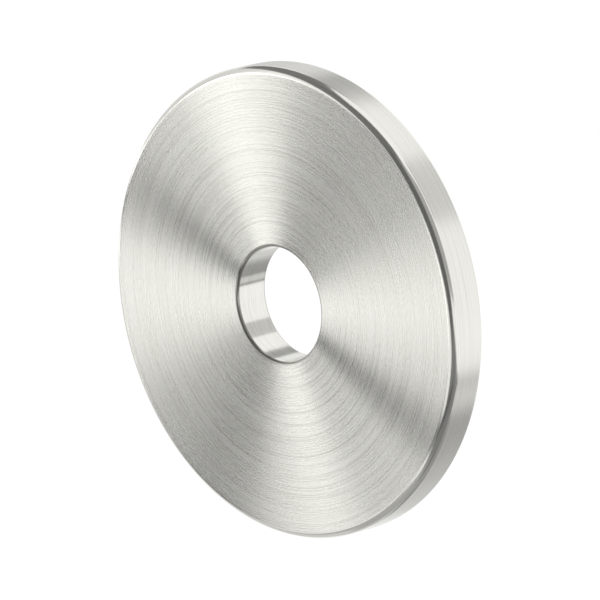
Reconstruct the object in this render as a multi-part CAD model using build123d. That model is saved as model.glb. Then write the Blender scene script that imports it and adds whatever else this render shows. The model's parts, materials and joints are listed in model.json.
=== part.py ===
from build123d import *

import os

# Round escutcheon plate for a wall spout: one disc of stainless steel, turned in one piece.
# It stands upright as it does on the wall. The wall is the plane Y = 0, the plate's axis runs
# along Y and the front face looks along -Y. Every size is in millimetres.

# The disc, and the bore that the spout's pipe passes through
PLATE_DIAMETER = 90.0
PLATE_THICKNESS = 7.5
BORE_DIAMETER = 22.0

# Rounded edges: the rim's front, the bore's front mouth, and both of them at the wall
FRONT_EDGE_RADIUS = 1.5
BORE_EDGE_RADIUS = 0.6
BACK_EDGE_RADIUS = 0.4

# Shallow relief turned into the back, between two flat rings that bear on the wall
RELIEF_DEPTH = 1.5
RELIEF_CHAMFER = 0.3
RIM_LAND_WIDTH = 4.0
BORE_LAND_WIDTH = 4.0

# Radii and heights of the section, which is drawn with its radius along X and its axis along Y
RIM_RADIUS = PLATE_DIAMETER / 2
BORE_RADIUS = BORE_DIAMETER / 2
RELIEF_OUTER_RADIUS = RIM_RADIUS - RIM_LAND_WIDTH
RELIEF_INNER_RADIUS = BORE_RADIUS + BORE_LAND_WIDTH
BACK_FACE = 0.0
FRONT_FACE = BACK_FACE - PLATE_THICKNESS


def ring_section(inner_radius, outer_radius, depth, mode):
    """Half section of a plain ring that reaches from the back face forward by depth."""
    with Locations((inner_radius, BACK_FACE)):
        Rectangle(
            outer_radius - inner_radius,
            depth,
            align=(Align.MIN, Align.MAX),
            mode=mode,
        )


def corners(section, height, *radii):
    """The section's corners at that height, one for each radius."""
    return [section.vertices().sort_by_distance(Vector(radius, height))[0] for radius in radii]


with BuildPart() as plate:
    with BuildSketch(Plane.XY) as section:
        ring_section(BORE_RADIUS, RIM_RADIUS, PLATE_THICKNESS, Mode.ADD)
        ring_section(RELIEF_INNER_RADIUS, RELIEF_OUTER_RADIUS, RELIEF_DEPTH, Mode.SUBTRACT)
        fillet(corners(section, FRONT_FACE, RIM_RADIUS), FRONT_EDGE_RADIUS)
        fillet(corners(section, FRONT_FACE, BORE_RADIUS), BORE_EDGE_RADIUS)
        fillet(corners(section, BACK_FACE, RIM_RADIUS, BORE_RADIUS), BACK_EDGE_RADIUS)
        chamfer(corners(section, BACK_FACE, RELIEF_OUTER_RADIUS, RELIEF_INNER_RADIUS), RELIEF_CHAMFER)
    revolve(axis=Axis.Y)

os.makedirs("parts", exist_ok=True)
export_step(plate.part, "parts/escutcheon_plate.step")
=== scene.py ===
# %% [markdown]
# # A brushed steel escutcheon plate
# An escutcheon plate hides the rough hole in the wall where the pipe of a spout comes out. This one is
# a flat disc, turned from one piece of stainless steel, with a plain round bore in the middle.
# The solid part is already packed as a frame, in metres, with the wall in the plane Y = 0, the front face
# towards -Y and +Z up. This lesson loads that frame, builds a finer mesh in the same place, and gives
# each turned surface its own finish.

# %% Load the frame
import json
import math

import bmesh
import bpy
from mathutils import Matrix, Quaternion, Vector


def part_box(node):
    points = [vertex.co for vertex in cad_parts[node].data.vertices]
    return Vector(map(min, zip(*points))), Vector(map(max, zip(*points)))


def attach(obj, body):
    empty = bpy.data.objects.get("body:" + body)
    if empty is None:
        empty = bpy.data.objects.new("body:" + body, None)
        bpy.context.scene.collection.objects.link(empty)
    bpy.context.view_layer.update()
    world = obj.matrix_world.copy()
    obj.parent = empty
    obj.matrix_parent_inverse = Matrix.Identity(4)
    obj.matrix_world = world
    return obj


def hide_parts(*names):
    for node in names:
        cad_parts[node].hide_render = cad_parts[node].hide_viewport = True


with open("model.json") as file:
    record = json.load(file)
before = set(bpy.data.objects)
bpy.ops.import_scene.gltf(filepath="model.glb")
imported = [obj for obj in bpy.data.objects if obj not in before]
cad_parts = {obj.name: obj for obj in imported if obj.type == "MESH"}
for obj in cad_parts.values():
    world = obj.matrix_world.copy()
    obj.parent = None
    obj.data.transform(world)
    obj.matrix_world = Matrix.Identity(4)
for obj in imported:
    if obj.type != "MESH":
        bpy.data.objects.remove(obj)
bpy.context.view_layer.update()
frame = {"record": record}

MM = 0.001

# %% [markdown]
# ## The section
# A turned part is all in its section: a lathe cuts one outline while the work spins. So the few sizes
# below are the whole shape. The outer sizes are read from the frame and the bore from its mount in the
# record, so the mesh can't drift from the solid. The rounds and the relief in the back are the solid's too.

# %% Sizes of the section
lowest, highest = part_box("escutcheon_plate")
RIM_RADIUS = highest.x
FRONT = lowest.y
BACK = highest.y
MOUNTS = {mount["name"]: mount for mount in frame["record"]["mounts"]}
BORE_RADIUS = MOUNTS["spout_bore"]["dims"]["r_mm"] * MM
FRONT_EDGE_RADIUS = 1.5 * MM
BORE_EDGE_RADIUS = 0.6 * MM
BACK_EDGE_RADIUS = 0.4 * MM
LAND_WIDTH = 4.0 * MM
RELIEF_DEPTH = 1.5 * MM
RELIEF_CHAMFER = 0.3 * MM
RELIEF_OUTER = RIM_RADIUS - LAND_WIDTH
RELIEF_INNER = BORE_RADIUS + LAND_WIDTH
RELIEF_FLOOR = BACK - RELIEF_DEPTH
print(f"plate {2 * RIM_RADIUS / MM:.1f} mm across, {(BACK - FRONT) / MM:.1f} mm thick")

# %% [markdown]
# ## Turning the disc
# The outline starts as eight sharp corners, one bmesh vertex each, and `spin` carries it once round the
# Y axis. The merge at the end of a full turn closes the seam. A step of one degree keeps the silhouette
# round in a close view: the flat of each step leaves the true circle by less than two thousandths of a
# millimetre.

# %% Spin the outline
SPIN_STEPS = 360
NEAR = 0.001 * MM
CORNERS = [
    (BORE_RADIUS, FRONT),
    (RIM_RADIUS, FRONT),
    (RIM_RADIUS, BACK),
    (RELIEF_OUTER, BACK),
    (RELIEF_OUTER, RELIEF_FLOOR),
    (RELIEF_INNER, RELIEF_FLOOR),
    (RELIEF_INNER, BACK),
    (BORE_RADIUS, BACK),
]

plate_mesh = bmesh.new()
outline = [plate_mesh.verts.new((radius, height, 0.0)) for radius, height in CORNERS]
outline += [plate_mesh.edges.new(pair) for pair in zip(outline, outline[1:] + outline[:1])]
bmesh.ops.spin(
    plate_mesh,
    geom=outline,
    cent=(0.0, 0.0, 0.0),
    axis=(0.0, 1.0, 0.0),
    angle=2 * math.pi,
    steps=SPIN_STEPS,
    use_merge=True,
)
bmesh.ops.remove_doubles(plate_mesh, verts=plate_mesh.verts, dist=NEAR)
bmesh.ops.recalc_face_normals(plate_mesh, faces=plate_mesh.faces)
print("turned disc:", len(plate_mesh.faces), "faces")

# %% [markdown]
# ## Rounding the edges
# No edge of a real plate is sharp: the maker breaks each one, with a clear round at the front of the rim,
# a smaller one at the mouth of the bore and a touch of the file at the back. Each is a bevel of one ring
# of edges. A bevel with a profile of 0.5 is a true arc, and a bevel of one segment is a chamfer. The
# rounds need enough segments to bend a reflection smoothly.

# %% Find a ring of edges
def ring_edges(mesh, radius, height):
    """The edges that run round the plate at one corner of its section."""
    ring = {
        vert
        for vert in mesh.verts
        if abs(math.hypot(vert.co.x, vert.co.z) - radius) < NEAR and abs(vert.co.y - height) < NEAR
    }
    return [edge for edge in mesh.edges if ring.issuperset(edge.verts)]


print("edges round the front of the rim:", len(ring_edges(plate_mesh, RIM_RADIUS, FRONT)))

# %% Bevel each ring of edges
ROUND_SEGMENTS = 16
SMALL_ROUND_SEGMENTS = 8
CHAMFER_SEGMENTS = 1

for radius, height, size, segments in (
    (RIM_RADIUS, FRONT, FRONT_EDGE_RADIUS, ROUND_SEGMENTS),
    (BORE_RADIUS, FRONT, BORE_EDGE_RADIUS, SMALL_ROUND_SEGMENTS),
    (RIM_RADIUS, BACK, BACK_EDGE_RADIUS, SMALL_ROUND_SEGMENTS),
    (BORE_RADIUS, BACK, BACK_EDGE_RADIUS, SMALL_ROUND_SEGMENTS),
    (RELIEF_OUTER, BACK, RELIEF_CHAMFER, CHAMFER_SEGMENTS),
    (RELIEF_INNER, BACK, RELIEF_CHAMFER, CHAMFER_SEGMENTS),
):
    bmesh.ops.bevel(
        plate_mesh,
        geom=ring_edges(plate_mesh, radius, height),
        offset=size,
        offset_type="OFFSET",
        segments=segments,
        profile=0.5,
        affect="EDGES",
        material=-1,
    )
bmesh.ops.remove_doubles(plate_mesh, verts=plate_mesh.verts, dist=NEAR)
bmesh.ops.recalc_face_normals(plate_mesh, faces=plate_mesh.faces)
print("rounded disc:", len(plate_mesh.faces), "faces")

# %% [markdown]
# ## Colours and nodes
# Colours are written as sRGB hex values, as a colour picker shows them, and one function turns them to
# the linear values that a shader takes. Another small function adds one node, with its settings, and
# fills its inputs with values or links. That is all the help that the materials below need.

# %% Helpers for materials
SRGB_KNEE = 0.04045


def linear(hex_colour):
    """Linear RGBA values of an sRGB hex colour."""
    channels = [int(hex_colour[start : start + 2], 16) / 255 for start in (1, 3, 5)]
    return [c / 12.92 if c <= SRGB_KNEE else ((c + 0.055) / 1.055) ** 2.4 for c in channels] + [1.0]


def add(tree, kind, inputs=None, **settings):
    """Adds one node, sets it up, and fills its inputs with values or links."""
    node = tree.nodes.new(kind)
    for name, value in settings.items():
        setattr(node, name, value)
    for name, value in (inputs or {}).items():
        if isinstance(value, bpy.types.NodeSocket):
            tree.links.new(value, node.inputs[name])
        else:
            node.inputs[name].default_value = value
    return node


def new_finish(name):
    """A material with an empty node tree, and that tree."""
    material = bpy.data.materials.new(name)
    material.use_nodes = True
    material.node_tree.nodes.clear()
    return material, material.node_tree


print("mid grey in linear light:", round(linear("#808080")[0], 3))

# %% [markdown]
# ## Marks that run round the axis
# Every finish on this plate was made while it turned, so every mark is a stroke along a circle round the
# Y axis. A noise texture gives such strokes if it is stretched: it changes quickly across the strokes and
# slowly along them. To have no seam where the angle jumps from 360 degrees back to 0, the angle goes in as
# the direction of the spoke from the axis to the point. The distance from the axis and the depth along
# it fill the other two of the four dimensions, so the strokes go round the rim and the bore as well.

# %% Helpers for turned marks
DROP_DEPTH = (1.0, 0.0, 1.0)


def spoke_of(tree):
    """Where a point is: its place, the direction of its spoke and its distance from the axis."""
    place = add(tree, "ShaderNodeTexCoord").outputs["Object"]
    flat = add(tree, "ShaderNodeVectorMath", {0: place, 1: DROP_DEPTH}, operation="MULTIPLY")
    spoke = add(tree, "ShaderNodeVectorMath", {0: flat.outputs[0]}, operation="NORMALIZE")
    distance = add(tree, "ShaderNodeVectorMath", {0: flat.outputs[0]}, operation="LENGTH")
    return place, spoke.outputs[0], distance.outputs["Value"]


def turned_marks(tree, pitch, stroke_angle, detail):
    """Strokes that run round the axis: pitch across them, in metres, and stroke_angle along, in radians."""
    place, spoke, distance = spoke_of(tree)
    along = add(tree, "ShaderNodeVectorMath", {0: spoke, "Scale": 1 / stroke_angle}, operation="SCALE")
    along = add(tree, "ShaderNodeSeparateXYZ", {0: along.outputs[0]}).outputs
    across = add(tree, "ShaderNodeMath", {0: distance, 1: 1 / pitch}, operation="MULTIPLY")
    depth = add(tree, "ShaderNodeSeparateXYZ", {0: place}).outputs["Y"]
    depth = add(tree, "ShaderNodeMath", {0: depth, 1: 1 / pitch}, operation="MULTIPLY")
    where = {"X": along["X"], "Y": along["Z"], "Z": across.outputs[0]}
    where = add(tree, "ShaderNodeCombineXYZ", where)
    noise = {"Vector": where.outputs[0], "W": depth.outputs[0], "Scale": 1.0, "Detail": detail}
    return add(tree, "ShaderNodeTexNoise", noise, noise_dimensions="4D").outputs["Fac"]


print(f"a stroke of one radian: {BORE_RADIUS / MM:.0f} mm at the bore, {RIM_RADIUS / MM:.0f} mm at the rim")

# %% [markdown]
# ## One steel, several finishes
# The plate is one piece of stainless steel, so its finishes share one colour, but for the mouth of the
# bore, whose darker grey is painted shade, and the marks of the tool make the difference. Marks that run
# round the axis scatter light across themselves: along the spokes on the front, along the axis on the
# rim. An anisotropic shader does that.
# Its tangent here is the direction of the marks, and a quarter turn of the anisotropy spreads the light
# across them. A deeper mark is a little darker and better burnished than the steel beside it, and it
# swerves a little from the true circle, so the fans of light break up into strokes.

# %% Helper for turned steel
STEEL = "#F1F0EA"
MARK_DETAIL = 0.5
BAND_PITCH = 1.2 * MM
BAND_ANGLE = math.radians(50)
BAND_DETAIL = 2.0
BAND_SHARE = 0.15
MARK_LOW, MARK_HIGH = 0.45, 0.75
QUARTER_TURN = 0.25
SWERVE = 0.04
AXIS = (0.0, 1.0, 0.0)
# A mix node has sockets of every type under the same names, so its colours are found by their places.
COLOUR_A, COLOUR_B, COLOUR_RESULT = 6, 7, 2


def turned_steel(name, steel, mark_colour, pitch, stroke_angle, mark_height, smooth, rough, anisotropic):
    """Stainless steel with turned marks, which darken it to mark_colour and burnish it to smooth."""
    material, tree = new_finish(name)
    fine = turned_marks(tree, pitch, stroke_angle, MARK_DETAIL)
    broad = turned_marks(tree, BAND_PITCH, BAND_ANGLE, BAND_DETAIL)
    marks = add(tree, "ShaderNodeMix", {"Factor": BAND_SHARE, "A": fine, "B": broad}).outputs["Result"]
    level = {"Value": marks, "From Min": MARK_LOW, "From Max": MARK_HIGH}
    level = add(tree, "ShaderNodeMapRange", level).outputs["Result"]
    tones = {"Factor": level, COLOUR_A: linear(steel), COLOUR_B: linear(mark_colour)}
    tone = add(tree, "ShaderNodeMix", tones, data_type="RGBA").outputs[COLOUR_RESULT]
    wear = {"Value": level, "To Min": rough, "To Max": smooth}
    wear = add(tree, "ShaderNodeMapRange", wear).outputs["Result"]
    bump = add(tree, "ShaderNodeBump", {"Height": fine, "Distance": mark_height}).outputs[0]
    spoke = spoke_of(tree)[1]
    ring = add(tree, "ShaderNodeVectorMath", {0: spoke, 1: AXIS}, operation="CROSS_PRODUCT").outputs[0]
    swerve = {0: fine, 1: SWERVE, 2: -SWERVE / 2}
    swerve = add(tree, "ShaderNodeMath", swerve, operation="MULTIPLY_ADD").outputs[0]
    swerve = add(tree, "ShaderNodeVectorMath", {0: spoke, "Scale": swerve}, operation="SCALE").outputs[0]
    stroke = add(tree, "ShaderNodeVectorMath", {0: ring, 1: swerve}, operation="ADD").outputs[0]
    shader = {
        "Base Color": tone,
        "Metallic": 1.0,
        "Roughness": wear,
        "Anisotropic": anisotropic,
        "Anisotropic Rotation": QUARTER_TURN,
        "Tangent": stroke,
        "Normal": bump,
    }
    shader = add(tree, "ShaderNodeBsdfPrincipled", shader)
    add(tree, "ShaderNodeOutputMaterial", {"Surface": shader.outputs[0]})
    print(f"{name}: roughness {smooth} to {rough}, a mark every {pitch / MM} mm")
    return material


# %% [markdown]
# ## The brushed front
# The front was brushed with an abrasive pad held against it while it turned. Its scratches are finer than
# a tenth of a millimetre. They are drawn a quarter of a millimetre apart, as coarse as they must be to
# show at all from this far. The eye gets the bright and dark fans that turn about the bore.

# %% Brushed front
brushed_front = turned_steel(
    "brushed_stainless_steel_front",
    steel=STEEL,
    mark_colour="#D8D7D0",
    pitch=0.25 * MM,
    stroke_angle=math.radians(70),
    mark_height=0.001 * MM,
    smooth=0.245,
    rough=0.275,
    anisotropic=1.0,
)

# %% [markdown]
# ## The polished edges
# The rounds were taken over with a finer abrasive, so they mirror the room in thin lines, dark and light,
# that draw the plate's outline. The eye gets a crisp edge between the front and the rim.

# %% Polished edges
polished_edge = turned_steel(
    "polished_stainless_steel_edge",
    steel=STEEL,
    mark_colour="#E1E1DB",
    pitch=0.2 * MM,
    stroke_angle=math.radians(34),
    mark_height=0.0 * MM,
    smooth=0.15,
    rough=0.18,
    anisotropic=0.3,
)

# %% [markdown]
# ## The mouth of the bore
# The edge at the mouth of the bore was only broken with a deburring tool. Its darker grey is painted
# shade: it stands in for the dark that the mouth reflects from the hole, so the eye gets a thin dark ring
# round the hole.

# %% Mouth of the bore, with painted shade
mouth_painted_shade = turned_steel(
    "stainless_steel_mouth_painted_shade",
    # Painted shade: this darker grey stands in for the dark that the mouth reflects, not a colour of the
    # steel.
    steel="#BDBCB6",
    mark_colour="#A5A49E",
    pitch=0.2 * MM,
    stroke_angle=math.radians(34),
    mark_height=0.0 * MM,
    smooth=0.16,
    rough=0.20,
    anisotropic=0.3,
)

# %% [markdown]
# ## The satin rim
# The rim was turned with a fine feed and only wiped with the abrasive, so it scatters light less far than
# the front does, and the room shows in it as soft upright bands.

# %% Satin rim
satin_rim = turned_steel(
    "satin_stainless_steel_rim",
    steel=STEEL,
    mark_colour="#E4E4DE",
    pitch=0.25 * MM,
    stroke_angle=math.radians(34),
    mark_height=0.001 * MM,
    smooth=0.27,
    rough=0.29,
    anisotropic=0.7,
)

# %% [markdown]
# ## The bore
# The bore was cut by a boring bar and only lightly brushed. It is the smoothest of the turned surfaces,
# so its bands of light and dark have clear ends.

# %% Turned bore
turned_bore = turned_steel(
    "turned_stainless_steel_bore",
    steel=STEEL,
    mark_colour="#E4E4DE",
    pitch=0.25 * MM,
    stroke_angle=math.radians(34),
    mark_height=0.0 * MM,
    smooth=0.17,
    rough=0.19,
    anisotropic=0.75,
)

# %% [markdown]
# ## The back
# The back lies on the wall and nobody polishes it. It keeps the rings of the lathe tool, which run on much
# longer than brush strokes and lie farther apart.

# %% Turned back
turned_back = turned_steel(
    "turned_stainless_steel_back",
    steel=STEEL,
    mark_colour="#DADAD3",
    pitch=0.4 * MM,
    stroke_angle=math.radians(300),
    mark_height=0.02 * MM,
    smooth=0.34,
    rough=0.40,
    anisotropic=0.9,
)

# %% [markdown]
# ## A finish for each face
# On a turned part a finish belongs to a surface, and a surface is known by the way its faces look and by
# how far they lie from the axis. So one function can tell every face its finish.

# %% Finish of a face
FINISHES = [brushed_front, polished_edge, mouth_painted_shade, satin_rim, turned_bore, turned_back]
FRONT_FINISH, EDGE_FINISH, MOUTH_PAINTED_SHADE, RIM_FINISH, BORE_FINISH, BACK_FINISH = range(len(FINISHES))
FLAT = 0.001


def finish_of(face):
    """Which finish a face has, by the way it looks and how far it lies from the axis."""
    centre = face.calc_center_median()
    distance = math.hypot(centre.x, centre.z)
    looks = face.normal.y
    outside = distance > RIM_RADIUS - BACK_EDGE_RADIUS
    inside = distance < BORE_RADIUS + BORE_EDGE_RADIUS
    if looks < FLAT - 1:
        return FRONT_FINISH
    if looks < -FLAT:
        return MOUTH_PAINTED_SHADE if inside else EDGE_FINISH
    if outside:
        return RIM_FINISH if looks < FLAT else EDGE_FINISH
    if inside:
        return BORE_FINISH if looks < FLAT else MOUTH_PAINTED_SHADE
    return BACK_FINISH


plate_mesh.normal_update()
for face in plate_mesh.faces:
    face.smooth = True
    face.material_index = finish_of(face)
for slot, finish in enumerate(FINISHES):
    print(finish.name, "on", sum(face.material_index == slot for face in plate_mesh.faces), "faces")

# %% [markdown]
# ## The plate
# The mesh becomes one object at the origin. Corners over 30 degrees stay sharp, and a weighted normal
# modifier gives the large flats the say over the thin rounds next to them, so the flats shade flat. The
# plate is parented to the root body, and the solid that it replaces is hidden.

# %% Plate object
SHARP_ANGLE = math.radians(30)
for edge in plate_mesh.edges:
    edge.smooth = edge.calc_face_angle() < SHARP_ANGLE
plate_data = bpy.data.meshes.new("escutcheon_plate_turned")
plate_mesh.to_mesh(plate_data)
plate_mesh.free()
for finish in FINISHES:
    plate_data.materials.append(finish)
plate = bpy.data.objects.new("escutcheon_plate_turned", plate_data)
scene = bpy.context.scene
scene.collection.objects.link(plate)
weights = plate.modifiers.new("flats stay flat", "WEIGHTED_NORMAL")
weights.keep_sharp = True
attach(plate, "root")
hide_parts("escutcheon_plate")
print("plate:", len(plate_data.polygons), "faces")

# %% [markdown]
# ## The camera
# The camera stands 45 degrees to the right of the plate and looks down on it by 15 degrees, through a long
# lens that keeps the circles close to true ellipses. Azimuth 0 is straight in front of the plate, and 90
# is to its right.

# %% Directions in the room
def towards(azimuth, elevation):
    """Unit vector from the plate to a place in the room."""
    azimuth, elevation = math.radians(azimuth), math.radians(elevation)
    level = math.cos(elevation)
    return Vector((math.sin(azimuth) * level, -math.cos(azimuth) * level, math.sin(elevation)))


def facing_plate(azimuth, elevation):
    """The turn that points an object's -Z at the plate, with its Y upwards."""
    return towards(azimuth, elevation).to_track_quat("Z", "Y")


print("straight in front:", [round(c, 3) for c in towards(0, 0)])

# %% Camera
VIEW_AZIMUTH = 45.0
VIEW_ELEVATION = 15.0
VIEW_DISTANCE = 0.809
AIM_RIGHT = -1.232 * MM
AIM_UP = -0.457 * MM
LENS_MM = 257.9

camera_data = bpy.data.cameras.new("camera")
camera_data.lens = LENS_MM
camera = bpy.data.objects.new("camera", camera_data)
scene.collection.objects.link(camera)
camera.rotation_mode = "QUATERNION"
camera.rotation_quaternion = facing_plate(VIEW_AZIMUTH, VIEW_ELEVATION)
camera.location = camera.rotation_quaternion @ Vector((AIM_RIGHT, AIM_UP, VIEW_DISTANCE))
scene.camera = camera
print("camera at:", [round(c, 3) for c in camera.location])

# %% [markdown]
# ## The white room
# Metal shows what stands round it, so the room is the other half of its look. The room is white on all
# sides. The floor is white paint, and where it is seen, by the camera or in a reflection, a little glow
# lifts it to clear white.

# %% White room
ROOM_LEVEL = 1.0

scene.view_settings.view_transform = "Standard"
world = bpy.data.worlds.new("white_room")
scene.world = world
world.use_nodes = True
world.node_tree.nodes.clear()
light = {"Color": linear("#FFFFFF"), "Strength": ROOM_LEVEL}
light = add(world.node_tree, "ShaderNodeBackground", light)
add(world.node_tree, "ShaderNodeOutputWorld", {"Surface": light.outputs[0]})
print("world:", world.name)

# %% White floor
FLOOR_DROP = 4.2
FLOOR_SIZE = 80.0
FLOOR_GLOW = 0.12

white_floor, tree = new_finish("white_floor")
rays = add(tree, "ShaderNodeLightPath").outputs
seen = {0: rays["Is Camera Ray"], 1: rays["Is Glossy Ray"]}
seen = add(tree, "ShaderNodeMath", seen, operation="MAXIMUM").outputs[0]
seen = {0: seen, 1: rays["Is Transmission Ray"]}
seen = add(tree, "ShaderNodeMath", seen, operation="MAXIMUM").outputs[0]
glow = add(tree, "ShaderNodeMath", {0: seen, 1: FLOOR_GLOW}, operation="MULTIPLY").outputs[0]
glow = add(tree, "ShaderNodeEmission", {"Strength": glow})
paint = add(tree, "ShaderNodeBsdfDiffuse", {"Color": linear("#F4F4F4")})
both = add(tree, "ShaderNodeAddShader", {0: paint.outputs[0], 1: glow.outputs[0]})
add(tree, "ShaderNodeOutputMaterial", {"Surface": both.outputs[0]})

floor_mesh = bmesh.new()
bmesh.ops.create_grid(floor_mesh, x_segments=1, y_segments=1, size=FLOOR_SIZE / 2)
floor_data = bpy.data.meshes.new("floor")
floor_mesh.to_mesh(floor_data)
floor_mesh.free()
floor_data.materials.append(white_floor)
floor = bpy.data.objects.new("floor", floor_data)
floor.location.z = -FLOOR_DROP
scene.collection.objects.link(floor)
print("floor", FLOOR_DROP, "m below the plate")

# %% [markdown]
# ## Cards and soft boxes
# In an all-white room steel looks like paper. A photographer hangs dark cards round it to give it form,
# and soft boxes for the bright fans. Each card here is a patch of a tent round the plate, given by where
# it hangs, how far it reaches to each side in degrees, how it is rolled and how bright it is beside the
# white of the room. The tent is far larger than the plate, so that every point of the plate sees a card in
# the same direction and the fans keep straight sides. Each card hangs a little nearer than the one before,
# so it covers what it overlaps. They show in the steel only: the camera looks through them.

# %% Helpers for cards and soft boxes
TENT_RADIUS = 4.0
TENT_STEP = 0.02
CARD_SEGMENTS = 16
hung = []


def hang(patch, azimuth, elevation, roll):
    """Turns a patch of the tent to its place, where only its reflection in the steel shows."""
    turn = facing_plate(azimuth, elevation)
    patch.rotation_mode = "QUATERNION"
    patch.rotation_quaternion = turn @ Quaternion((0.0, 0.0, 1.0), math.radians(roll))
    patch.visible_camera = False
    patch.visible_diffuse = False
    scene.collection.objects.link(patch)
    hung.append(patch.name)


def card(name, azimuth, elevation, wide, high, roll, level):
    """A patch of the tent that reaches wide and high degrees to each side."""
    material, tree = new_finish(name)
    cloth = add(tree, "ShaderNodeEmission", {"Strength": level})
    add(tree, "ShaderNodeOutputMaterial", {"Surface": cloth.outputs[0]})
    # The rays that the steel reflects find a card by themselves. Sampling it as a lamp only adds grain.
    material.cycles.emission_sampling = "NONE"
    mesh = bmesh.new()
    bmesh.ops.create_grid(mesh, x_segments=CARD_SEGMENTS, y_segments=CARD_SEGMENTS, size=1.0)
    reach = Vector((math.tan(math.radians(wide)), math.tan(math.radians(high))))
    radius = TENT_RADIUS - TENT_STEP * len(hung)
    for vert in mesh.verts:
        vert.co = Vector((vert.co.x * reach.x, vert.co.y * reach.y, 1.0)).normalized() * radius
    data = bpy.data.meshes.new(name)
    mesh.to_mesh(data)
    mesh.free()
    data.materials.append(material)
    hang(bpy.data.objects.new(name, data), azimuth, elevation, roll)


print("tent radius", TENT_RADIUS, "m")

# %% [markdown]
# ## Above and in front
# Everything over the plate and in front of it is dark or grey. The rounds look that way, so they get their
# dark lines from here, and the front gets its darker fans.

# %% Cards above and in front
card("dark_canopy_left", azimuth=-75, elevation=55, wide=49, high=21, roll=6, level=0.19)
card("dark_upper_front", azimuth=0, elevation=47, wide=36, high=33, roll=22, level=0.17)
card("dark_front", azimuth=14, elevation=1, wide=41.5, high=31, roll=60, level=0.13)
card("grey_by_the_camera", azimuth=71, elevation=33, wide=24.5, high=28, roll=-4, level=0.43)
print("cards so far:", len(hung))

# %% [markdown]
# ## Over the floor
# A bare white floor would light the lower side of the plate as brightly as the sky lights the upper one.
# Grey and dark cards over it give the lower rounds their lines and shade the lower end of the rim.

# %% Cards over the floor
card("dark_floor_right", azimuth=74, elevation=-54, wide=56, high=35, roll=-24, level=0.21)
card("grey_floor", azimuth=-159, elevation=-82, wide=58, high=21, roll=-18, level=0.63)
card("dark_floor_front", azimuth=-28, elevation=-61, wide=28.5, high=20.5, roll=-49, level=0.41)
card("grey_floor_behind", azimuth=150, elevation=-60, wide=22.5, high=23, roll=-64, level=0.32)
print("cards so far:", len(hung))

# %% [markdown]
# ## Behind the plate
# Seen from the camera, the rim and the bore mirror the room behind the plate. Small cards there, between
# patches of bare white, draw the soft bands in both.

# %% Cards behind the plate
card("dark_behind_left", azimuth=-145, elevation=38, wide=10, high=8.5, roll=-42, level=0.35)
card("grey_behind", azimuth=-135, elevation=0, wide=6, high=12, roll=0, level=0.72)
card("grey_band_behind", azimuth=144, elevation=40, wide=12, high=14, roll=57, level=0.56)
card("grey_floor_behind_left", azimuth=-160, elevation=-44, wide=10, high=10, roll=-4, level=0.72)
print("cards so far:", len(hung))

# %% [markdown]
# ## Round the mirror point
# The front mirrors the room's left side, round a point 45 degrees to the left and 15 degrees down. The
# brushing smears that view along the spokes, so a card to one side of the mirror point becomes a fan on
# that side of the bore, and a second fan opposite. The key soft box just above that point makes the
# brightest pair.

# %% Cards round the mirror point
card("key_soft_box", azimuth=-68, elevation=0, wide=25.5, high=9, roll=-12, level=2.25)
card("dark_strip_left", azimuth=-76, elevation=-21, wide=27.5, high=19, roll=34, level=0.02)
card("white_left", azimuth=-81, elevation=2, wide=26, high=29, roll=-1, level=0.74)
card("grey_floor_left", azimuth=-83, elevation=-44, wide=18, high=24.5, roll=19, level=0.68)
card("strip_light", azimuth=-14, elevation=-16, wide=27.5, high=10.5, roll=-26, level=0.95)
card("dark_floor_strip", azimuth=3, elevation=-33, wide=49.5, high=3, roll=-13, level=0.02)
card("grey_upper_front", azimuth=-34, elevation=-4, wide=5.5, high=11.5, roll=-54, level=0.27)
print("cards so far:", len(hung))

# %% [markdown]
# ## Thin strips
# A narrow dark wedge with a bright flank on each side runs out from the bore to the left and to the right.
# Thin strips that point at the mirror point draw it: bright ones, and a dark one between them.

# %% Thin strips
card("mirror_strip", azimuth=-44, elevation=-15, wide=15, high=2, roll=6, level=2.0)
card("upper_left_strip", azimuth=-75, elevation=-5, wide=22, high=1.5, roll=-5, level=1.7)
card("lower_left_strip", azimuth=-78, elevation=-13, wide=18, high=1.3, roll=-2, level=1.5)
card("dark_left_strip", azimuth=-79, elevation=-9.5, wide=20, high=1.5, roll=-4, level=0.10)
card("dark_mirror_strip", azimuth=-48, elevation=-14.5, wide=13, high=1, roll=-15, level=0.02)
print("hung:", ", ".join(hung))
